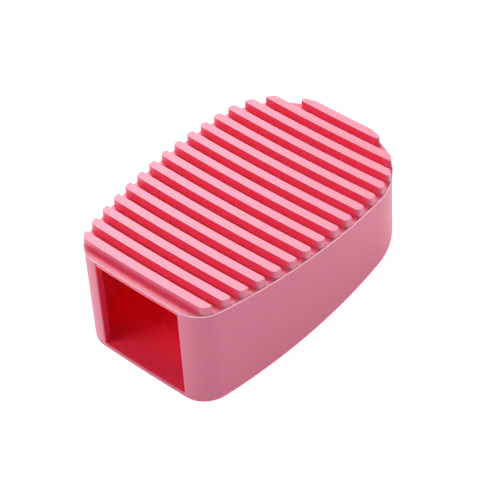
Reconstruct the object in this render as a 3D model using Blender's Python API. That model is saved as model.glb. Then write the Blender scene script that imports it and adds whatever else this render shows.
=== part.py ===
"""Ribbed rubber curry brush: a hollow wedge-shaped hand block with a ribbed cover.

Two moulded pieces are modelled. hollow_body is a tub with a flat base, upright
walls and a mouth at the front for the fingers. ribbed_cover closes the tub:
a thin flange lies on the rim, a plug drops inside the walls, its front edge is
the lintel over the mouth, and sixteen scrubbing ribs stand on its top.

Both are drawn in the cover's own frame: X across, Y from the mouth to the
tail, Z = 0 at the tips of the ribs. The empty brush_frame then tips that frame
so that the base lies flat on z = 0 with the origin at the middle of the box.
"""

import math

import bmesh
import bpy
import numpy as np
from mathutils import Matrix, Vector

MM = 0.001

# Plan outline: five tangent arcs from the front centre round to the tail.
LENGTH = 128.7 * MM
HALF_WIDTH = 43.9 * MM
WIDEST_AT = 75.0 * MM
FRONT_RADIUS = 1070.0 * MM
FRONT_CORNER = 13.4 * MM
SIDE_RADIUS = 255.0 * MM
TAIL_CORNER = 34.2 * MM
TAIL_RADIUS = 400.0 * MM
CHORD = 6.0 * MM

# Side view: the base slopes against the ribs, so the block thins to the tail.
FRONT_HEIGHT = 52.2 * MM
WEDGE = math.radians(7.8)
BASE_ROUND = 0.5 * MM

# Ribs
RIB_COUNT = 16
RIB_PITCH = 8.0 * MM
RIB_WIDTH = 3.95 * MM
RIB_HEIGHT = 3.8 * MM
RIB_DRAFT = 0.15 * MM
RIB_CORNER = 1.6 * MM
RIB_EDGE = 0.3 * MM
RIB_INSET = 0.25 * MM
FIRST_RIB = 3.8 * MM
LAST_RIB_HALF = 21.2 * MM

# Shell
WALL = 3.4 * MM
FLOOR = 2.0 * MM
GAP = 0.3 * MM
FLANGE = 1.0 * MM
COVER_DEPTH = 2.6 * MM
MOUTH_HALF = 22.1 * MM

# Levels in the cover's frame
PLATE_TOP = -RIB_HEIGHT
FLANGE_UNDER = PLATE_TOP - FLANGE
COVER_UNDER = PLATE_TOP - COVER_DEPTH
WALL_TOP = FLANGE_UNDER - GAP
DEEP = -FRONT_HEIGHT - 20.0 * MM

PINK = (0.90, 0.33, 0.43, 1.0)


def rib_line(y, x):
    """Y of a line across the block, which bows to the front like the front face."""
    return y + x * x / (2.0 * FRONT_RADIUS)


def arc_centres():
    """Centres and radii of the outline's arcs on the +X side, front to tail."""
    front = np.array((0.0, FRONT_RADIUS))
    side = np.array((HALF_WIDTH - SIDE_RADIUS, WIDEST_AT))
    tail = np.array((0.0, LENGTH - TAIL_RADIUS))
    front_corner = inner_tangent(front, FRONT_RADIUS, side, SIDE_RADIUS, FRONT_CORNER, -1)
    tail_corner = inner_tangent(tail, TAIL_RADIUS, side, SIDE_RADIUS, TAIL_CORNER, 1)
    return [(front, FRONT_RADIUS), (front_corner, FRONT_CORNER), (side, SIDE_RADIUS),
            (tail_corner, TAIL_CORNER), (tail, TAIL_RADIUS)]


def inner_tangent(c1, r1, c2, r2, r, end):
    """Centre of the circle of radius r that touches two larger ones from inside."""
    d1, d2 = r1 - r, r2 - r
    between = c2 - c1
    span = np.linalg.norm(between)
    along = (d1 * d1 - d2 * d2 + span * span) / (2.0 * span)
    off = math.sqrt(d1 * d1 - along * along)
    unit = between / span
    normal = np.array((-unit[1], unit[0]))
    options = [c1 + along * unit + side * off * normal for side in (-1, 1)]
    return max((p for p in options if p[0] > 0.0), key=lambda p: end * p[1])


def on_circle(centre, radius, angle):
    return centre + radius * np.array((math.cos(angle), math.sin(angle)))


def half_outline(inset, step=math.radians(7.5)):
    """Points of the +X side from the front centre to the tail centre, moved inwards."""
    arcs = arc_centres()
    angles = [-0.5 * math.pi]
    for (c1, r1), (c2, r2) in zip(arcs, arcs[1:]):
        away = (c2 - c1) if r1 > r2 else (c1 - c2)
        angles.append(math.atan2(away[1], away[0]))
    angles.append(0.5 * math.pi)
    points = []
    for (centre, radius), start, stop in zip(arcs, angles, angles[1:]):
        sweep = stop - start
        count = max(2, math.ceil(sweep / step), math.ceil(sweep * radius / CHORD))
        for angle in np.linspace(start, stop, count + 1)[bool(points):]:
            points.append(on_circle(centre, radius - inset, angle))
    points[0][0] = points[-1][0] = 0.0
    return points


def mirrored(half):
    """Closed loop, anticlockwise from above, from the points of its +X half."""
    return half + [np.array((-x, y)) for x, y in reversed(half) if x > 1e-7]


def crossing(a, b, ga, gb):
    return a + (b - a) * (ga / (ga - gb))


def walk(points, index, step, length):
    """Follow a polyline from one of its corners and cut it after a given length."""
    here = points[index]
    while length > 0.0:
        index += step
        side = points[index] - here
        size = np.linalg.norm(side)
        if size > length:
            return here + side * (length / size), index
        here, length = points[index], length - size
    return here, index


def round_corner(points, index, size, steps=4):
    """Swap one corner of a polyline for a curve that starts and ends size away from it."""
    start, before = walk(points, index, -1, size)
    stop, after = walk(points, index, 1, size)
    corner = points[index]
    curve = [start * (1.0 - t) ** 2 + corner * 2.0 * t * (1.0 - t) + stop * t * t
             for t in np.linspace(0.0, 1.0, steps + 1)]
    return points[:before + 1] + curve + points[after:]


def blunt(end, reach):
    """Cut a pointed rib end square, at a given distance from the middle."""
    for i, (a, b) in enumerate(zip(end, end[1:])):
        if a[0] > reach >= b[0]:
            cut = a + (b - a) * ((a[0] - reach) / (a[0] - b[0]))
            return [np.array((reach, end[0][1])), cut] + end[i + 1:]


def rib_outline(index):
    """Plan loop of one rib at its tip: two bowed edges and ends that follow the outline."""
    front = FIRST_RIB + index * RIB_PITCH
    back = front + RIB_WIDTH
    side = half_outline(RIB_INSET)
    end = []
    for a, b in zip(side, side[1:]):
        fa, fb = a[1] - rib_line(front, a[0]), b[1] - rib_line(front, b[0])
        ba, bb = a[1] - rib_line(back, a[0]), b[1] - rib_line(back, b[0])
        if fa < 0.0 <= fb:
            end.append(crossing(a, b, fa, fb))
        if ba < 0.0 <= bb:
            end.append(crossing(a, b, ba, bb))
            break
        if fb > 0.0 and bb < 0.0:
            end.append(b)
    if index == RIB_COUNT - 1:
        end = blunt(end, LAST_RIB_HALF)
    across = np.linspace(0.0, 1.0, 6)[:-1]
    first, last = end[0][0], end[-1][0]
    points = [np.array((first * t, rib_line(front, first * t))) for t in across] + end
    points += [np.array((last * t, rib_line(back, last * t))) for t in across[::-1]]
    corner = len(across)
    points = round_corner(points, corner + len(end) - 1, RIB_CORNER)
    if index == RIB_COUNT - 1:
        points = round_corner(points, corner + 1, RIB_CORNER)
    points = round_corner(points, corner, RIB_CORNER)
    return mirrored(points)


def grown(loop, distance):
    """The loop moved outwards, each point along the mean normal of its two edges."""
    moved = []
    for i, point in enumerate(loop):
        ahead = loop[(i + 1) % len(loop)] - point
        behind = point - loop[i - 1]
        normal = ahead / np.linalg.norm(ahead) + behind / np.linalg.norm(behind)
        normal = np.array((normal[1], -normal[0])) / np.linalg.norm(normal)
        moved.append(point + normal * distance)
    return moved


def add_object(name, mesh, collection):
    obj = bpy.data.objects.new(name, mesh)
    collection.objects.link(obj)
    return obj


def prism(name, loop, bottom, top, collection):
    """Upright solid on a plan loop: a filled 2D curve, extruded, then made a mesh."""
    curve = bpy.data.curves.new(name + "_outline", "CURVE")
    curve.dimensions = "2D"
    curve.fill_mode = "BOTH"
    curve.extrude = 0.5 * (top - bottom)
    spline = curve.splines.new("POLY")
    spline.points.add(len(loop) - 1)
    for point, (x, y) in zip(spline.points, loop):
        point.co = (x, y, 0.0, 1.0)
    spline.use_cyclic_u = True
    guide = add_object(name + "_guide", curve, collection)
    guide.location.z = 0.5 * (top + bottom)
    bpy.context.view_layer.update()
    evaluated = guide.evaluated_get(bpy.context.evaluated_depsgraph_get())
    mesh = bpy.data.meshes.new_from_object(evaluated)
    mesh.transform(guide.matrix_world)
    bpy.data.objects.remove(guide)
    bpy.data.curves.remove(curve)
    bm = bmesh.new()
    bm.from_mesh(mesh)
    bmesh.ops.remove_doubles(bm, verts=bm.verts, dist=1e-6)
    bmesh.ops.recalc_face_normals(bm, faces=bm.faces)
    bm.to_mesh(mesh)
    bm.free()
    return add_object(name, mesh, collection)


def box(name, low, high, turn, collection):
    """Box between two corners, given in a frame turned about X through the origin."""
    size = Vector(high) - Vector(low)
    middle = 0.5 * (Vector(high) + Vector(low))
    bm = bmesh.new()
    bmesh.ops.create_cube(bm, size=1.0)
    place = Matrix.Translation(middle) @ Matrix.Diagonal((*size, 1.0))
    bm.transform(Matrix.Rotation(turn, 4, "X") @ place)
    mesh = bpy.data.meshes.new(name)
    bm.to_mesh(mesh)
    bm.free()
    return add_object(name, mesh, collection)


def combine(target, other, operation):
    """Apply one exact Boolean to target and take the other object away."""
    modifier = target.modifiers.new(operation.lower(), "BOOLEAN")
    modifier.operation = operation
    modifier.solver = "EXACT"
    modifier.object = other
    bpy.context.view_layer.update()
    evaluated = target.evaluated_get(bpy.context.evaluated_depsgraph_get())
    mesh = bpy.data.meshes.new_from_object(evaluated)
    target.modifiers.clear()
    target.data = mesh
    bpy.data.objects.remove(other)


def round_base(obj):
    """Round the edge where the walls meet the sloping base."""
    down = Vector((0.0, math.sin(WEDGE), -math.cos(WEDGE)))
    bm = bmesh.new()
    bm.from_mesh(obj.data)
    bmesh.ops.dissolve_limit(bm, angle_limit=math.radians(0.5), verts=bm.verts, edges=bm.edges)
    rim = [edge for edge in bm.edges if len(edge.link_faces) == 2
           and sum(face.normal.dot(down) > 0.99 for face in edge.link_faces) == 1]
    bmesh.ops.bevel(bm, geom=rim, offset=BASE_ROUND, segments=3, profile=0.5, affect="EDGES")
    bm.to_mesh(obj.data)
    bm.free()


def build_ribs(collection):
    """All sixteen ribs in one mesh: lofts with drafted sides and softened tips."""
    levels = ((PLATE_TOP - 0.4 * MM, RIB_DRAFT), (-RIB_EDGE, 0.05 * MM), (0.0, -RIB_EDGE))
    bm = bmesh.new()
    for index in range(RIB_COUNT):
        tip = rib_outline(index)
        rings = [[bm.verts.new((x, y, z)) for x, y in grown(tip, out)] for z, out in levels]
        for low, high in zip(rings, rings[1:]):
            for i in range(len(low)):
                j = (i + 1) % len(low)
                bm.faces.new((low[i], low[j], high[j], high[i]))
        bm.faces.new(rings[-1])
        bm.faces.new(rings[0][::-1])
    bmesh.ops.triangulate(bm, faces=[face for face in bm.faces if len(face.verts) > 4])
    mesh = bpy.data.meshes.new("ribs")
    bm.to_mesh(mesh)
    bm.free()
    return add_object("ribs", mesh, collection)


def build_body(parts, cutters):
    """Tub with a sloping base, open at the top and at the mouth."""
    wide = 2.0 * HALF_WIDTH
    base = -FRONT_HEIGHT * math.cos(WEDGE)
    body = prism("hollow_body", mirrored(half_outline(0.0)), DEEP, WALL_TOP, parts)
    under = box("under_base", (-wide, -LENGTH, base - LENGTH), (wide, 2.0 * LENGTH, base),
                WEDGE, cutters)
    combine(body, under, "DIFFERENCE")
    round_base(body)
    hollow = prism("hollow", mirrored(half_outline(WALL)), DEEP, 0.0, cutters)
    under_floor = box("under_floor", (-wide, -LENGTH, base - LENGTH),
                      (wide, 2.0 * LENGTH, base + FLOOR), WEDGE, cutters)
    combine(hollow, under_floor, "DIFFERENCE")
    combine(body, hollow, "DIFFERENCE")
    mouth = box("mouth", (-MOUTH_HALF, -20.0 * MM, base + FLOOR),
                (MOUTH_HALF, 2.0 * WALL, 20.0 * MM), WEDGE, cutters)
    combine(body, mouth, "DIFFERENCE")
    return body


def build_cover(parts, cutters):
    """Slab cut back under its rim to leave flange, plug and lintel, then joined to the ribs."""
    cover = prism("ribbed_cover", mirrored(half_outline(0.0)), COVER_UNDER, PLATE_TOP, parts)
    rebate = prism("rebate", mirrored(half_outline(-WALL)), DEEP, FLANGE_UNDER, cutters)
    plug = prism("plug", mirrored(half_outline(WALL + GAP)), 2.0 * DEEP, 0.0, cutters)
    combine(rebate, plug, "DIFFERENCE")
    lintel = box("lintel", (-MOUTH_HALF + GAP, -2.0 * WALL, 2.0 * DEEP),
                 (MOUTH_HALF - GAP, 2.0 * WALL, 0.0), 0.0, cutters)
    combine(rebate, lintel, "DIFFERENCE")
    combine(cover, rebate, "DIFFERENCE")
    combine(cover, build_ribs(cutters), "UNION")
    return cover


def rubber(name):
    material = bpy.data.materials.new(name)
    material.use_nodes = True
    shader = material.node_tree.nodes["Principled BSDF"]
    shader.inputs["Base Color"].default_value = PINK
    shader.inputs["Roughness"].default_value = 0.55
    shader.inputs["Metallic"].default_value = 0.0
    return material


def stand_on_origin(frame, pieces):
    """Tip the frame so that the base is level, then centre the whole box on the origin."""
    frame.rotation_euler.x = -WEDGE
    bpy.context.view_layer.update()
    corners = np.array([piece.matrix_world @ vertex.co
                        for piece in pieces for vertex in piece.data.vertices])
    low, high = corners.min(axis=0), corners.max(axis=0)
    frame.location = (-0.5 * (low[0] + high[0]), -0.5 * (low[1] + high[1]), -low[2])


def main():
    for obj in list(bpy.data.objects):
        bpy.data.objects.remove(obj)
    parts = bpy.data.collections.new("rubber_curry_brush")
    cutters = bpy.data.collections.new("cutters")
    bpy.context.scene.collection.children.link(parts)
    bpy.context.scene.collection.children.link(cutters)
    frame = bpy.data.objects.new("brush_frame", None)
    parts.objects.link(frame)
    pieces = [build_body(parts, cutters), build_cover(parts, cutters)]
    for piece in pieces:
        piece.data.materials.clear()
        piece.data.materials.append(rubber(piece.name + "_rubber"))
        piece.data.shade_smooth()
        piece.data.set_sharp_from_angle(angle=math.radians(30.0))
        piece.parent = frame
    stand_on_origin(frame, pieces)


main()
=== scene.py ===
import math

import bmesh
import bpy
import numpy as np
from mathutils import Matrix, Vector
from mathutils.geometry import delaunay_2d_cdt


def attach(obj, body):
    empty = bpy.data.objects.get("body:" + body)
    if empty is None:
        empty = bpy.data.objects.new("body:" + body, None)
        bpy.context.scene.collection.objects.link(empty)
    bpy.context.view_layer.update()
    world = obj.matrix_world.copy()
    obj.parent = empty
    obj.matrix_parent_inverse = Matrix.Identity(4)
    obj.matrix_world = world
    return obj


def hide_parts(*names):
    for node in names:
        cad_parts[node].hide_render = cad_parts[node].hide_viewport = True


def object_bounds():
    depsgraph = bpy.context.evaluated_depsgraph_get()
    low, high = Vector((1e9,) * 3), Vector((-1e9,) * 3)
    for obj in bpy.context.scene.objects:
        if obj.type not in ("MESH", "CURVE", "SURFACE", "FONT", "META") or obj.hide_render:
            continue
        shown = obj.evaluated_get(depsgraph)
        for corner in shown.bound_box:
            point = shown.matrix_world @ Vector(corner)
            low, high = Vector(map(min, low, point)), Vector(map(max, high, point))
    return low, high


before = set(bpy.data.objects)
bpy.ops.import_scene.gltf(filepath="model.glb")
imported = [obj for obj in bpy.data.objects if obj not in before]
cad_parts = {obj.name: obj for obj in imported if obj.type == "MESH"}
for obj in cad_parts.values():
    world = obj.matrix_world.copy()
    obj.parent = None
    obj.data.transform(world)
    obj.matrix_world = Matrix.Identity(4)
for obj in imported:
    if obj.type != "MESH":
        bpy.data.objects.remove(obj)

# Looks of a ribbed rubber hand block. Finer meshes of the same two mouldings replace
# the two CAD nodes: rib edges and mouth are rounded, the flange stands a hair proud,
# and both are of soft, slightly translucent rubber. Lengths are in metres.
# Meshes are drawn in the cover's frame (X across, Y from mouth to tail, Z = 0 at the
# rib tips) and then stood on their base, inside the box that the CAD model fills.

cad_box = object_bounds()

MM = 0.001

# Plan outline of the block: tangent arcs from the front centre round to the tail.
LENGTH = 128.7 * MM
HALF_WIDTH = 43.9 * MM
WIDEST_AT = 75.0 * MM
FRONT_RADIUS = 1070.0 * MM
FRONT_CORNER = 13.4 * MM
SIDE_RADIUS = 255.0 * MM
TAIL_CORNER = 34.2 * MM
TAIL_RADIUS = 400.0 * MM

# Side view
FRONT_HEIGHT = 52.2 * MM
WEDGE = math.radians(7.8)
BASE_ROUND = 0.45 * MM

# Ribs
RIB_COUNT = 16
RIB_PITCH = 8.0 * MM
RIB_WIDTH = 3.95 * MM
RIB_HEIGHT = 3.8 * MM
RIB_DRAFT = 0.12 * MM
RIB_CORNER = 1.6 * MM          # plan rounding of the ends
RIB_EDGE = 0.22 * MM           # rounding round the tip
RIB_FOOT = 0.18 * MM           # fillet where the rib meets the plate
RIB_RIM = 0.6 * MM             # width of the rim on the tip, painted paler as a highlight
RIB_INSET = 0.25 * MM
FIRST_RIB = 3.8 * MM
LAST_RIB_HALF = 21.2 * MM
RIB_MARGIN = 0.03 * MM         # least room between a rib's foot and the plate's edge

# Shell and cover
WALL = 3.4 * MM
RIM_EDGE = 0.15 * MM
FLOOR = 2.0 * MM
FLOOR_FILLET = 2.2 * MM
SEAM = 0.04 * MM
FLANGE = 1.0 * MM
FLANGE_PROUD = 0.16 * MM
FLANGE_EDGE = 0.25 * MM
COVER_DEPTH = 2.6 * MM
PLUG_INSET = WALL + 0.3 * MM
LINTEL_DEPTH = 2.0 * MM        # how far the bar goes in under the plate
LINTEL_OVERLAP = 0.4 * MM      # how far it is sunk into the flange, so that they join
LINTEL_GROOVE = 0.9 * MM
LINTEL_GROOVE_INSET = 0.5 * MM
LINTEL_INSET = 0.05 * MM
LINTEL_EDGE = 0.25 * MM
LINTEL_GAP = 0.12 * MM
MOUTH_HALF = 22.1 * MM
MOUTH_CORNER = 0.9 * MM
MOUTH_EDGE = 0.7 * MM
MOUTH_SILL_EDGE = 0.4 * MM
MOUTH_FLARE = math.radians(75.0)
MOUTH_OVERSHOOT = 0.5 * MM     # how far the cutter goes past the floor's fillet
MOUTH_OUTSIDE = 3.5 * MM       # how far it stands out of the front
SILL_HALF = 20.0 * MM          # straight part of the sill, less than MOUTH_HALF
APART = 0.01 * MM              # keeps faces that would lie on each other a hair apart

PLATE_TOP = -RIB_HEIGHT
FLANGE_UNDER = PLATE_TOP - FLANGE
COVER_UNDER = PLATE_TOP - COVER_DEPTH
FLARE_FADES = (COVER_UNDER + 0.2 * MM, COVER_UNDER - 1.0 * MM)     # none above, full below
SILL_BELOW = COVER_UNDER - 10.0 * MM   # the mouth's sill lies below this, its top above
WALL_TOP = FLANGE_UNDER - SEAM

# Rubber colours and their places on the ramp, from painted highlights on thin edges to painted
# shade in the deepest corners
# Painted highlight: a paler pink on thin edges and on the rims of the rib tips
HIGHLIGHT_PINK = (1.0, 0.47, 0.59)
PINK = (0.99, 0.21, 0.345)
# The cover's pink made darker, as painted shade on the block's walls
SHADED_BODY_PINK = (0.67, 0.118, 0.225)
SHADE_PINK = (0.76, 0.16, 0.27)
# Painted shade in saturated reds: groove walls, rib feet and groove floors, the hollow, and the
# hollow near the mouth
GROOVE_SHADE_RED = (1.0, 0.078, 0.18)
FOOT_SHADE_RED = (0.74, 0.01, 0.06)
HOLLOW_SHADE_RED = (1.0, 0.018, 0.07)
MOUTH_SHADE_RED = (0.78, 0.02, 0.075)
HIGHLIGHT_TONE, PLAIN_TONE, SHADE_TONE, GROOVE_SHADE_TONE, DEEP_SHADE_TONE = 0.0, 0.25, 0.4, 0.6, 1.0
# Painted shade on the ledge before the first rib
LEDGE_SHADE_TONE = 0.72
# Painted shade in the groove under the flange, over the mouth
LINTEL_SHADE_TONE = 0.62
COVER_RAMP = ((HIGHLIGHT_TONE, HIGHLIGHT_PINK), (PLAIN_TONE, PINK), (SHADE_TONE, SHADE_PINK),
              (GROOVE_SHADE_TONE, GROOVE_SHADE_RED), (DEEP_SHADE_TONE, FOOT_SHADE_RED))
BODY_RAMP = ((HIGHLIGHT_TONE, HIGHLIGHT_PINK), (PLAIN_TONE, SHADED_BODY_PINK), (DEEP_SHADE_TONE, HOLLOW_SHADE_RED))

# Where a tone starts to change and where it's full, measured in from the plan outline
LIP = 0.2 * MM
LEDGE_WIDTH = 2.6 * MM
RIB_ENDS = (0.4 * MM, 4.5 * MM)
COVER_UNDERSIDE = (0.5 * MM, 1.2 * MM)
JAMB_START = (0.2 * MM, 0.4 * MM)
JAMB_FROM = 1.0 * MM
SILL_START = (1.0 * MM, 1.7 * MM)      # measured up from the underside
DAYLIGHT = (26.0 * MM, 6.0 * MM)       # measured into the hollow from the front of the box
JAMB_TONE = 0.85                       # share of the deep painted shade that the jamb starts with
RIM_HIGHLIGHT_SHARE = 0.3                        # share of the painted highlight on a rib's rim

# A colour Mix node's sockets, which share their names with those for other types
MIX_A, MIX_B, MIX_RESULT = 6, 7, 2

# Rubber: how much light goes into the cover, the outer wall and the hollow, and how far
COVER_GLOW = 0.12
BODY_GLOW = 0.1
HOLLOW_GLOW = 0.5
GLOW_REACH = 3.6 * MM
GLOW_RADIUS = (1.0, 0.06, 0.06)
ROUGHNESS = 0.45
GLOSS = 0.8
MOTTLE_SCALE = 1100.0
MOTTLE_RANGE = (0.95, 1.04)            # of the colour's saturation
GRAIN_SCALE = 2600.0
GRAIN_DEPTH = 0.05 * MM
GRAIN_STRENGTH = 0.25

# Studio: (name, place, aim, size, watts) of each soft light
LIGHTS = (("back", (-0.85, 0.72, 1.0), (0.0, 0.0, 0.0), 0.9, 15.5),
          ("front", (-0.8, -0.8, 1.15), (0.0, 0.0, 0.0), 0.9, 9.0),
          ("right", (0.75, 1.0, 0.5), (0.0, 0.0, 0.02), 0.7, 2.8))
SKY = 0.2
LIGHT_BOUNCES = 32
STAGE_SIZE = 3.0
STAGE_GAP = 0.05 * MM          # keeps the stage's floor clear of the underside
STAGE_GREY = 0.8
STAGE_LIGHT = 0.8
STAGE_ROUGHNESS = 0.9
STAGE_GLOSS = 0.1
WHITE = (1.0, 1.0, 1.0, 1.0)

# Camera at the photograph's viewing angle
CAMERA_PLACE = (0.42153, -0.35443, 0.62361)
CAMERA_AZIMUTH = math.radians(49.887)
CAMERA_ELEVATION = math.radians(48.046)
CAMERA_ROLL = math.radians(-11.817)
CAMERA_LENS = 142.96
CAMERA_SENSOR = 36.0
CAMERA_REACH = 20.0

# Fineness of the plan outline, and the sharpest bend that is shaded smooth
ARC_STEP = math.radians(3.0)
CHORD = 3.0 * MM
SMOOTH_ANGLE = math.radians(35.0)


# ---------------------------------------------------------------- small sums

def ease(value, start, stop):
    """0 at start, 1 at stop, with a gentle beginning and end."""
    t = min(max((value - start) / (stop - start), 0.0), 1.0)
    return t * t * (3.0 - 2.0 * t)


def mix(low, high, share):
    """Value a given share of the way from low to high."""
    return low + (high - low) * share


def quarter_turn(count):
    """Evenly spaced angles through a right angle, ends included."""
    return np.linspace(0.0, 0.5 * math.pi, count)


# ---------------------------------------------------------------- plan outlines

def on_circle(centre, radius, angle):
    """Point of a plan circle, at an angle from +X."""
    return centre + radius * np.array((math.cos(angle), math.sin(angle)))


def bow(x):
    """How far a line across the block lies behind its own middle."""
    return x * x / (2.0 * FRONT_RADIUS)


def inner_tangent(c1, r1, c2, r2, r, end):
    """Centre of the circle of radius r that touches two larger ones from inside."""
    d1, d2 = r1 - r, r2 - r
    between = c2 - c1
    span = np.linalg.norm(between)
    along = (d1 * d1 - d2 * d2 + span * span) / (2.0 * span)
    off = math.sqrt(d1 * d1 - along * along)
    unit = between / span
    normal = np.array((-unit[1], unit[0]))
    options = [c1 + along * unit + side * off * normal for side in (-1, 1)]
    return max((p for p in options if p[0] > 0.0), key=lambda p: end * p[1])


def arcs_of_outline():
    """(centre, radius) of the arcs on the +X side, front to tail."""
    front = np.array((0.0, FRONT_RADIUS))
    side = np.array((HALF_WIDTH - SIDE_RADIUS, WIDEST_AT))
    tail = np.array((0.0, LENGTH - TAIL_RADIUS))
    near = inner_tangent(front, FRONT_RADIUS, side, SIDE_RADIUS, FRONT_CORNER, -1)
    far = inner_tangent(tail, TAIL_RADIUS, side, SIDE_RADIUS, TAIL_CORNER, 1)
    return [(front, FRONT_RADIUS), (near, FRONT_CORNER), (side, SIDE_RADIUS),
            (far, TAIL_CORNER), (tail, TAIL_RADIUS)]


def half_outline(inset):
    """Points of the +X side from the front centre to the tail centre, moved inwards."""
    arcs = arcs_of_outline()
    angles = [-0.5 * math.pi]
    for (c1, r1), (c2, r2) in zip(arcs, arcs[1:]):
        away = (c2 - c1) if r1 > r2 else (c1 - c2)
        angles.append(math.atan2(away[1], away[0]))
    angles.append(0.5 * math.pi)
    points = []
    for (centre, radius), start, stop in zip(arcs, angles, angles[1:]):
        sweep = stop - start
        count = max(2, math.ceil(sweep / ARC_STEP), math.ceil(sweep * radius / CHORD))
        for angle in np.linspace(start, stop, count + 1)[bool(points):]:
            points.append(on_circle(centre, radius - inset, angle))
    points[0][0] = points[-1][0] = 0.0
    return points


def outline(inset):
    """Whole closed loop, anticlockwise from above."""
    half = half_outline(inset)
    return half + [np.array((-x, y)) for x, y in reversed(half) if x > 1e-7]


def walk(points, index, step, length):
    """Follow a polyline from one of its corners and cut it after a given length."""
    here = points[index]
    while length > 0.0:
        index += step
        side = points[index] - here
        size = np.linalg.norm(side)
        if size > length:
            return here + side * (length / size), index
        here, length = points[index], length - size
    return here, index


def round_corner(points, index, size, steps=8):
    """Swap one corner of a polyline for a curve that starts and ends size away from it."""
    start, before = walk(points, index, -1, size)
    stop, after = walk(points, index, 1, size)
    corner = points[index]
    curve = [start * (1.0 - t) ** 2 + corner * 2.0 * t * (1.0 - t) + stop * t * t
             for t in np.linspace(0.0, 1.0, steps + 1)]
    return points[:before + 1] + curve + points[after:]


def blunt(end, reach):
    """Cut a pointed rib end square, at a given distance from the middle."""
    for i, (a, b) in enumerate(zip(end, end[1:])):
        if a[0] > reach >= b[0]:
            cut = a + (b - a) * ((a[0] - reach) / (a[0] - b[0]))
            return [np.array((reach, end[0][1])), cut] + end[i + 1:]


def rib_outline(index):
    """Plan loop of one rib at its tip: two bowed edges and ends that follow the outline."""
    front = FIRST_RIB + index * RIB_PITCH
    back = front + RIB_WIDTH
    side = half_outline(RIB_INSET)
    end = []
    for a, b in zip(side, side[1:]):
        fa, fb = a[1] - front - bow(a[0]), b[1] - front - bow(b[0])
        ba, bb = a[1] - back - bow(a[0]), b[1] - back - bow(b[0])
        if fa < 0.0 <= fb:
            end.append(a + (b - a) * (fa / (fa - fb)))
        if ba < 0.0 <= bb:
            end.append(a + (b - a) * (ba / (ba - bb)))
            break
        if fb > 0.0 and bb < 0.0:
            end.append(b)
    if index == RIB_COUNT - 1:
        end = blunt(end, LAST_RIB_HALF)
    across = np.linspace(0.0, 1.0, 14)[:-1]
    first, last = end[0][0], end[-1][0]
    points = [np.array((first * t, front + bow(first * t))) for t in across] + end
    points += [np.array((last * t, back + bow(last * t))) for t in across[::-1]]
    corner = len(across)
    points = round_corner(points, corner + len(end) - 1, RIB_CORNER)
    if index == RIB_COUNT - 1:
        points = round_corner(points, corner + 1, RIB_CORNER)
    points = round_corner(points, corner, RIB_CORNER)
    return points + [np.array((-x, y)) for x, y in reversed(points) if x > 1e-7]


def loop_normals(loop):
    """Outward unit normal at each point of an anticlockwise loop."""
    normals = []
    for i, point in enumerate(loop):
        ahead = loop[(i + 1) % len(loop)] - point
        behind = point - loop[i - 1]
        mean = ahead / np.linalg.norm(ahead) + behind / np.linalg.norm(behind)
        normals.append(np.array((mean[1], -mean[0])) / np.linalg.norm(mean))
    return normals


def room_inside(point, loop):
    """Distance from a point to the nearest side of a loop around it."""
    a = np.array(loop)
    ab = np.roll(a, -1, axis=0) - a
    t = np.clip(((point - a) * ab).sum(1) / (ab * ab).sum(1), 0.0, 1.0)
    return float(np.linalg.norm(a + t[:, None] * ab - point, axis=1).min())


OUTLINE = outline(0.0)


# ---------------------------------------------------------------- mesh helpers

def add_ring(bm, points):
    """Vertices at a loop of points, not yet joined by faces."""
    return [bm.verts.new(p) for p in points]


def bridge(bm, low, high):
    """Quads between two rings, facing out when high is above low."""
    for i in range(len(low)):
        j = (i + 1) % len(low)
        bm.faces.new((low[i], low[j], high[j], high[i]))


def finish_mesh(bm, name):
    """Turn a bmesh into an object, with its faces looking out."""
    bmesh.ops.recalc_face_normals(bm, faces=bm.faces)
    mesh = bpy.data.meshes.new(name)
    bm.to_mesh(mesh)
    bm.free()
    obj = bpy.data.objects.new(name, mesh)
    bpy.context.scene.collection.objects.link(obj)
    return obj


def cut(target, cutter, operation="DIFFERENCE"):
    """Apply one exact Boolean to target and take the cutter away."""
    modifier = target.modifiers.new("cut", "BOOLEAN")
    modifier.operation = operation
    modifier.solver = "EXACT"
    modifier.object = cutter
    apply_modifiers(target)
    bpy.data.objects.remove(cutter)


def apply_modifiers(obj):
    """Swap an object's mesh for the one that its modifiers make."""
    bpy.context.view_layer.update()
    depsgraph = bpy.context.evaluated_depsgraph_get()
    mesh = bpy.data.meshes.new_from_object(obj.evaluated_get(depsgraph), depsgraph=depsgraph,
                                           preserve_all_data_layers=True)
    obj.modifiers.clear()
    obj.data = mesh


def smooth(obj):
    """Smooth shading, with flat faces kept flat by weighting normals by area."""
    obj.data.shade_smooth()
    obj.data.set_sharp_from_angle(angle=SMOOTH_ANGLE)
    weighted = obj.modifiers.new("weighted", "WEIGHTED_NORMAL")
    weighted.mode = "FACE_AREA_WITH_ANGLE"
    weighted.weight = 80
    weighted.keep_sharp = True
    apply_modifiers(obj)


# ---------------------------------------------------------------- cover

def rib_rings(bm, index, plate_loop):
    """Loft one rib from its flat tip to its foot, and return the ring on the plate."""
    tip = rib_outline(index)
    normals = loop_normals(tip)
    foot = [min(RIB_FOOT, room_inside(p, plate_loop) - RIB_DRAFT - RIB_MARGIN) for p in tip]
    rings = [add_ring(bm, [(*(p - n * RIB_RIM), 0.0) for p, n in zip(tip, normals)])]
    for a in quarter_turn(6):
        out, z = RIB_EDGE * (math.sin(a) - 1.0), RIB_EDGE * (math.cos(a) - 1.0)
        rings.append(add_ring(bm, [(*(p + n * out), z) for p, n in zip(tip, normals)]))
    for b in quarter_turn(5):
        rings.append(add_ring(bm, [
            (*(p + n * (RIB_DRAFT + f * (1.0 - math.cos(b)))), PLATE_TOP + f * (1.0 - math.sin(b)))
            for p, n, f in zip(tip, normals, foot)]))
    bm.faces.new(rings[0])
    for high, low in zip(rings, rings[1:]):
        bridge(bm, low, high)
    return rings[-1]


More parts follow.
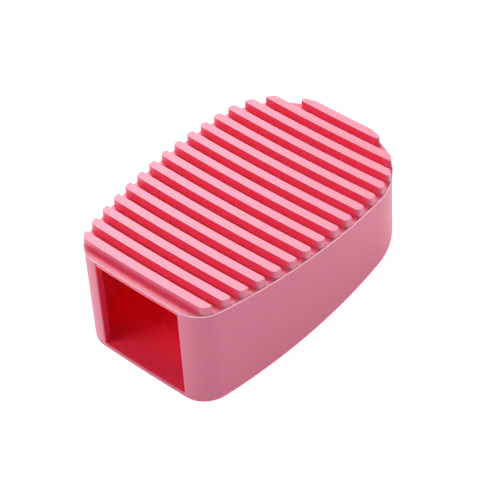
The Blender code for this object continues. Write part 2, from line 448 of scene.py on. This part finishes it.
def plate_edge():
    """(inset, z) down the flange's rounded edge and on to the underside of the cover."""
    flat = FLANGE_EDGE - FLANGE_PROUD
    profile = []
    for a in quarter_turn(5):
        profile.append((flat - FLANGE_EDGE * math.sin(a),
                        PLATE_TOP - FLANGE_EDGE * (1.0 - math.cos(a))))
    for a in quarter_turn(5):
        profile.append((flat - FLANGE_EDGE * math.cos(a),
                        FLANGE_UNDER + FLANGE_EDGE * (1.0 - math.sin(a))))
    profile.append((PLUG_INSET, FLANGE_UNDER))
    profile.append((PLUG_INSET, COVER_UNDER))
    return profile


def build_cover():
    """Plate with its lip and ribs as one skin, and the bar over the mouth joined to it."""
    bm = bmesh.new()
    profile = plate_edge()
    edge = [add_ring(bm, [(x, y, z) for x, y in outline(inset)]) for inset, z in profile]
    for high, low in zip(edge, edge[1:]):
        bridge(bm, low, high)
    bm.faces.new(edge[-1][::-1])
    plate_loop = [np.array(v.co[:2]) for v in edge[0]]
    feet = [rib_rings(bm, index, plate_loop) for index in range(RIB_COUNT)]
    fill_plate(bm, edge[0], feet)
    cover = finish_mesh(bm, "ribbed_rubber_cover")
    cut(cover, build_lintel(), "UNION")
    return cover


def inside(point, loop):
    """Whether a point lies in a closed plan loop, by counting the sides to its right."""
    a = np.array(loop)
    b = np.roll(a, -1, axis=0)
    spans = (a[:, 1] > point[1]) != (b[:, 1] > point[1])
    a, b = a[spans], b[spans]
    x = a[:, 0] + (b[:, 0] - a[:, 0]) * (point[1] - a[:, 1]) / (b[:, 1] - a[:, 1])
    return bool(np.count_nonzero(x > point[0]) % 2)


def fill_plate(bm, rim, feet):
    """Flat top of the plate: triangles between its rim and the feet of the ribs."""
    loops = [rim] + feet
    ordered = [v for loop in loops for v in loop]
    sides, start = [], 0
    for loop in loops:
        sides += [(start + i, start + (i + 1) % len(loop)) for i in range(len(loop))]
        start += len(loop)
    points = [v.co.xy for v in ordered]
    made = delaunay_2d_cdt(points, sides, [], 1, 1e-9)
    holes = [np.array([v.co.xy for v in foot]) for foot in feet]
    for triangle in made[2]:
        middle = sum((made[0][i] for i in triangle), Vector((0.0, 0.0))) / 3.0
        near = [h for h in holes if h[:, 1].min() < middle.y < h[:, 1].max()]
        if not any(inside(middle, hole) for hole in near):
            bm.faces.new([ordered[made[3][i][0]] for i in triangle])


def build_lintel():
    """Bar over the mouth, swept along the bowed front, with a rounded nose."""
    back, top = PLUG_INSET + LINTEL_DEPTH, FLANGE_UNDER + LINTEL_OVERLAP
    nose_top, under = FLANGE_UNDER - LINTEL_GROOVE, COVER_UNDER - APART
    bead = LINTEL_GROOVE_INSET - LINTEL_INSET
    section = [(back, under), (back, top), (LINTEL_GROOVE_INSET, top)]
    for a in quarter_turn(5):
        section.append((LINTEL_GROOVE_INSET - bead * math.sin(a),
                        nose_top - bead * (1.0 - math.cos(a))))
    for a in quarter_turn(6):
        section.append((LINTEL_INSET + LINTEL_EDGE * (1.0 - math.cos(a)),
                        under + LINTEL_EDGE * (1.0 - math.sin(a))))
    half = MOUTH_HALF - LINTEL_GAP
    bm = bmesh.new()
    rings = [add_ring(bm, [(x, y + bow(x), z) for y, z in section])
             for x in np.linspace(-half, half, 24)]
    for a, b in zip(rings, rings[1:]):
        bridge(bm, a, b)
    bm.faces.new(rings[0])
    bm.faces.new(rings[-1])
    return finish_mesh(bm, "lintel")


# ---------------------------------------------------------------- body

def base_z(y):
    """Height of the sloping underside below the rib tips."""
    return -FRONT_HEIGHT + math.tan(WEDGE) * y


def build_body():
    """Tub lofted from the underside, up the wall, over the rim and down to the floor."""
    bm = bmesh.new()

    def ring(inset, rise=None, z=None):
        points = outline(inset)
        return add_ring(bm, [(x, y, base_z(y) + rise if z is None else z) for x, y in points])

    rings = []
    for a in quarter_turn(6):
        rings.append(ring(BASE_ROUND * (1.0 - math.sin(a)), BASE_ROUND * (1.0 - math.cos(a))))
    for share, drop in ((0.0, 1.0), (0.3, 0.3), (1.0, 0.0)):
        rings.append(ring(share * RIM_EDGE, z=WALL_TOP - drop * RIM_EDGE))
    rings.append(ring(WALL, z=WALL_TOP))
    for a in quarter_turn(7):
        rings.append(ring(WALL + FLOOR_FILLET * (1.0 - math.cos(a)),
                          FLOOR + FLOOR_FILLET * (1.0 - math.sin(a))))
    bm.faces.new(rings[0][::-1])
    for low, high in zip(rings, rings[1:]):
        bridge(bm, low, high)
    bm.faces.new(rings[-1])
    body = finish_mesh(bm, "hollow_rubber_body")
    cut(body, build_mouth())
    return body


def build_mouth():
    """Cutter for the mouth. It flares where it meets the front, which rounds the edge.

    Each section is a pair: how far it grows past the plain mouth, and how deep it lies
    behind the front, both as shares of the edge radius.
    """
    sections = [(0.0, (WALL + FLOOR_FILLET + MOUTH_OVERSHOOT) / MOUTH_EDGE)]
    for t in np.linspace(0.0, MOUTH_FLARE, 6):
        sections.append((1.0 - math.cos(t), 1.0 - math.sin(t)))
    grown, depth = sections[-1]
    sections += [(2.0 - grown, -depth), (2.0 - grown, -MOUTH_OUTSIDE / MOUTH_EDGE)]
    bm = bmesh.new()
    rings = []
    for grow, depth in sections:
        points = []
        for x, z, side in mouth_loop(grow):
            wide = x + side * grow * MOUTH_EDGE * ease(z, *FLARE_FADES)
            y = bow(wide) + depth * MOUTH_EDGE
            tilt = math.tan(WEDGE) * y if z < SILL_BELOW else 0.0
            points.append((wide, y, z + tilt))
        rings.append(add_ring(bm, points))
    for a, b in zip(rings, rings[1:]):
        bridge(bm, a, b)
    bm.faces.new(rings[0])
    bm.faces.new(rings[-1])
    return finish_mesh(bm, "mouth_cutter")


def mouth_loop(grow):
    """(x, z, side) round the mouth: along the sill and up both jambs, closed above the rim."""
    sill = -FRONT_HEIGHT + FLOOR / math.cos(WEDGE) + 2.0 * APART - grow * MOUTH_SILL_EDGE
    jamb = [*np.linspace(sill + 4.0 * MM, COVER_UNDER - 2.0 * MM, 8),
            *np.linspace(COVER_UNDER - 1.2 * MM, COVER_UNDER + 0.4 * MM, 6),
            PLATE_TOP + 3.0 * MM]
    right = []
    for a in quarter_turn(6):
        right.append((MOUTH_HALF - MOUTH_CORNER * (1.0 - math.sin(a)),
                      sill + MOUTH_CORNER * (1.0 - math.cos(a)), 1.0))
    right += [(MOUTH_HALF, z, 1.0) for z in jamb]
    left = [(-x, z, -1.0) for x, z, _ in reversed(right)]
    return [(x, sill, 0.0) for x in np.linspace(-SILL_HALF, SILL_HALF, 9)] + right + left


# ---------------------------------------------------------------- rubber

def mark_tone(obj, tone):
    """Store each vertex's place on the colour ramp, from a painted highlight on a thin edge to
    painted shade in a deep corner.
    """
    attribute = obj.data.attributes.new("tone", "FLOAT", "POINT")
    attribute.data.foreach_set("value", [tone(v.co) for v in obj.data.vertices])


def rib_highlight(co):
    """Mask of the painted highlight: 1 on the rounding round a rib's flat tip, 0 just inside it.
    """
    along = (co.y - bow(co.x) - FIRST_RIB) % RIB_PITCH
    rim = min(along, RIB_WIDTH - along, room_inside(np.array(co.xy), OUTLINE) - RIB_INSET)
    return 1.0 - ease(rim, RIB_EDGE, RIB_RIM)


def front_tone(co, from_edge):
    """Painted shade on the first rib's front face and the ledge before it, which face away from
    the light, and a painted highlight on the rib's rim.
    """
    if co.z > -RIB_EDGE:
        rim = RIM_HIGHLIGHT_SHARE * rib_highlight(co) * ease(-co.z, RIB_EDGE, 0.0)
        return mix(PLAIN_TONE, HIGHLIGHT_TONE, rim)
    foot = ease(-co.z, 0.6 * RIB_HEIGHT, RIB_HEIGHT)
    return mix(SHADE_TONE, LEDGE_SHADE_TONE, ease(from_edge, 0.0, LEDGE_WIDTH) * foot)


def cover_tone(co):
    """Painted highlights on rounded edges, and painted shade: red groove walls, a deep red groove
    floor and ceiling.
    """
    from_edge = room_inside(np.array(co.xy), OUTLINE)
    if co.z < FLANGE_UNDER - APART:
        # painted shade: a dark line in the groove under the flange, over the mouth
        if co.z > FLANGE_UNDER - LINTEL_GROOVE - 5.0 * APART:
            return LINTEL_SHADE_TONE
        # painted shade on the cover's underside, deepening away from its edge
        return mix(PLAIN_TONE, DEEP_SHADE_TONE, ease(from_edge, *COVER_UNDERSIDE))
    # painted highlight along the flange's lip
    if from_edge < LIP and co.z < PLATE_TOP - 0.25 * FLANGE_EDGE:
        return HIGHLIGHT_TONE
    if co.y - bow(co.x) - FIRST_RIB < 0.5 * RIB_WIDTH:
        return front_tone(co, from_edge)
    ends = ease(from_edge, *RIB_ENDS)
    # painted highlight on the rib's rim, then painted shade down the groove walls
    edge = mix(PLAIN_TONE, HIGHLIGHT_TONE, RIM_HIGHLIGHT_SHARE * rib_highlight(co))
    wall = mix(edge, mix(SHADE_TONE, GROOVE_SHADE_TONE, ends), ease(-co.z, 0.35 * RIB_EDGE, RIB_EDGE))
    # painted shade, deepest on the groove floor at the feet of the ribs
    floor = mix(GROOVE_SHADE_TONE, DEEP_SHADE_TONE, ease(-co.z, RIB_HEIGHT - RIB_FOOT, RIB_HEIGHT))
    return mix(wall, floor, ends * ease(-co.z, RIB_HEIGHT - RIB_FOOT, RIB_HEIGHT))


def body_tone(co):
    """Painted shade: deep red inside, beginning just within the rounded edge of the mouth."""
    above_base = co.z - base_z(co.y)
    from_edge = room_inside(np.array(co.xy), OUTLINE)
    jamb = ease(from_edge, *JAMB_START) * mix(JAMB_TONE, 1.0, ease(from_edge, JAMB_FROM, WALL))
    return mix(PLAIN_TONE, DEEP_SHADE_TONE, jamb * ease(above_base, *SILL_START))


def add_node(tree, kind, values=None, links=None):
    """Add a shader node, set some of its inputs and link others."""
    node = tree.nodes.new(kind)
    for socket, value in (values or {}).items():
        node.inputs[socket].default_value = value
    for socket, source in (links or {}).items():
        tree.links.new(source, node.inputs[socket])
    return node


def tone_colour(tree, tone, ramp):
    """Colour for a tone, from (tone, colour) pairs in order."""
    node = add_node(tree, "ShaderNodeValToRGB", links={"Fac": tone})
    elements = node.color_ramp.elements
    for place, colour in ramp[1:-1]:
        elements.new(place).color = (*colour, 1.0)
    elements[0].color = (*ramp[0][1], 1.0)
    elements[-1].color = (*ramp[-1][1], 1.0)
    return node.outputs["Color"]


def shade_at_mouth(tree, place, tone, colour):
    """Painted shade: let the hollow's red turn duller towards the mouth, where daylight reaches
    it.
    """
    start, full = DAYLIGHT
    axes = add_node(tree, "ShaderNodeSeparateXYZ", links={"Vector": place})
    daylight = add_node(tree, "ShaderNodeMapRange", {
        "From Min": cad_box[0][1] + start, "From Max": cad_box[0][1] + full},
        {"Value": axes.outputs["Y"]})
    hollow = add_node(tree, "ShaderNodeMapRange", {"From Min": PLAIN_TONE}, {"Value": tone})
    share = add_node(tree, "ShaderNodeMath", links={
        0: daylight.outputs["Result"], 1: hollow.outputs["Result"]})
    share.operation = "MULTIPLY"
    blend = add_node(tree, "ShaderNodeMix", {MIX_B: (*MOUTH_SHADE_RED, 1.0)},
                     {"Factor": share.outputs["Value"], MIX_A: colour})
    blend.data_type = "RGBA"
    return blend.outputs[MIX_RESULT]


def mottled(tree, place, colour):
    """Faint cloudy change of saturation."""
    noise = add_node(tree, "ShaderNodeTexNoise", {
        "Scale": MOTTLE_SCALE, "Detail": 4.0, "Roughness": 0.6}, {"Vector": place})
    low, high = MOTTLE_RANGE
    vary = add_node(tree, "ShaderNodeMapRange", {
        "From Min": 0.3, "From Max": 0.7, "To Min": low, "To Max": high},
        {"Value": noise.outputs["Fac"]})
    tint = add_node(tree, "ShaderNodeHueSaturation", links={
        "Color": colour, "Saturation": vary.outputs["Result"]})
    return tint.outputs["Color"]


def moulded_grain(tree, place):
    """Fine unevenness of a moulded surface, as a normal."""
    noise = add_node(tree, "ShaderNodeTexNoise", {"Scale": GRAIN_SCALE, "Detail": 3.0},
                     {"Vector": place})
    bump = add_node(tree, "ShaderNodeBump", {
        "Strength": GRAIN_STRENGTH, "Distance": GRAIN_DEPTH}, {"Height": noise.outputs["Fac"]})
    return bump.outputs["Normal"]


def rubber(name, ramp, glow, hollow_glow=None):
    """Matte silicone rubber, with painted highlights on thin edges and painted shade, a deeper
    red, in recesses. A piece with a hollow glows more there.
    """
    material = bpy.data.materials.new(name)
    material.use_nodes = True
    tree = material.node_tree
    shader = tree.nodes["Principled BSDF"]
    for socket, value in (("Roughness", ROUGHNESS), ("Specular IOR Level", GLOSS),
                          ("Subsurface Weight", glow), ("Subsurface Radius", GLOW_RADIUS),
                          ("Subsurface Scale", GLOW_REACH)):
        shader.inputs[socket].default_value = value

    place = tree.nodes.new("ShaderNodeTexCoord").outputs["Object"]
    attribute = tree.nodes.new("ShaderNodeAttribute")
    attribute.attribute_name = "tone"
    tone = attribute.outputs["Fac"]
    colour = tone_colour(tree, tone, ramp)
    if hollow_glow:
        colour = shade_at_mouth(tree, place, tone, colour)
        weight = add_node(tree, "ShaderNodeMapRange", {
            "From Min": PLAIN_TONE, "To Min": glow, "To Max": hollow_glow}, {"Value": tone})
        tree.links.new(weight.outputs["Result"], shader.inputs["Subsurface Weight"])
    tree.links.new(mottled(tree, place, colour), shader.inputs["Base Color"])
    tree.links.new(moulded_grain(tree, place), shader.inputs["Normal"])
    return material


# ---------------------------------------------------------------- stage

def stand(pieces):
    """Tip the pieces so that the base is level, then fit them in the CAD model's box."""
    tip = Matrix.Rotation(-WEDGE, 4, "X")
    corners = np.array([tip @ v.co for piece in pieces for v in piece.data.vertices])
    low, high = corners.min(axis=0), corners.max(axis=0)
    cad_low, cad_high = (Vector(corner) for corner in cad_box)
    move = Matrix.Translation((0.0, 0.5 * (cad_low.y + cad_high.y - low[1] - high[1]),
                               cad_low.z - low[2]))
    for piece in pieces:
        piece.data.transform(move @ tip)


def add_floor():
    """Pale floor, lit a little from within so that it stays plain under the block."""
    bm = bmesh.new()
    bmesh.ops.create_grid(bm, x_segments=1, y_segments=1, size=STAGE_SIZE)
    bmesh.ops.translate(bm, verts=bm.verts, vec=(0.0, 0.0, -STAGE_GAP))
    floor = finish_mesh(bm, "pale_floor")
    material = bpy.data.materials.new("pale_floor")
    material.use_nodes = True
    shader = material.node_tree.nodes["Principled BSDF"]
    for socket, value in (("Base Color", (STAGE_GREY, STAGE_GREY, STAGE_GREY, 1.0)),
                          ("Roughness", STAGE_ROUGHNESS), ("Specular IOR Level", STAGE_GLOSS),
                          ("Emission Color", WHITE), ("Emission Strength", STAGE_LIGHT)):
        shader.inputs[socket].default_value = value
    floor.data.materials.append(material)


def add_area_light(name, place, aim, size, watts):
    """Round soft light that faces a point."""
    light = bpy.data.lights.new(name, "AREA")
    light.shape = "DISK"
    light.size = size
    light.energy = watts
    obj = bpy.data.objects.new(name, light)
    obj.location = place
    obj.rotation_euler = (Vector(aim) - Vector(place)).to_track_quat("-Z", "Y").to_euler()
    bpy.context.scene.collection.objects.link(obj)


def add_light():
    """Dim white surroundings and the soft lights, with enough bounces for the red hollows."""
    world = bpy.data.worlds.new("studio")
    bpy.context.scene.world = world
    world.use_nodes = True
    background = world.node_tree.nodes["Background"]
    background.inputs["Color"].default_value = WHITE
    background.inputs["Strength"].default_value = SKY
    for light in LIGHTS:
        add_area_light(*light)
    cycles = bpy.context.scene.cycles
    cycles.max_bounces = LIGHT_BOUNCES
    cycles.diffuse_bounces = LIGHT_BOUNCES


def add_camera():
    """Long lens, turned round the line of sight so that the block lies as in the photograph."""
    data = bpy.data.cameras.new("camera")
    data.sensor_width = CAMERA_SENSOR
    data.lens = CAMERA_LENS
    data.clip_end = CAMERA_REACH
    camera = bpy.data.objects.new("camera", data)
    camera.matrix_world = (Matrix.Translation(CAMERA_PLACE)
                           @ Matrix.Rotation(CAMERA_AZIMUTH, 4, "Z")
                           @ Matrix.Rotation(0.5 * math.pi - CAMERA_ELEVATION, 4, "X")
                           @ Matrix.Rotation(CAMERA_ROLL, 4, "Z"))
    bpy.context.scene.collection.objects.link(camera)
    bpy.context.scene.camera = camera


def main():
    cover, body = build_cover(), build_body()
    smooth(cover)
    smooth(body)
    mark_tone(cover, cover_tone)
    mark_tone(body, body_tone)
    stand((cover, body))
    cover.data.materials.append(rubber("cover_rubber", COVER_RAMP, COVER_GLOW))
    body.data.materials.append(rubber("body_rubber", BODY_RAMP, BODY_GLOW, HOLLOW_GLOW))
    for piece, node, slot in ((cover, "ribbed_cover", "cover_rubber"),
                              (body, "hollow_body", "body_rubber")):
        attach(piece, "root")
        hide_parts(node)
    add_floor()
    add_light()
    add_camera()
    view = bpy.context.scene.view_settings
    view.view_transform = "Standard"
    view.look = "None"


main()
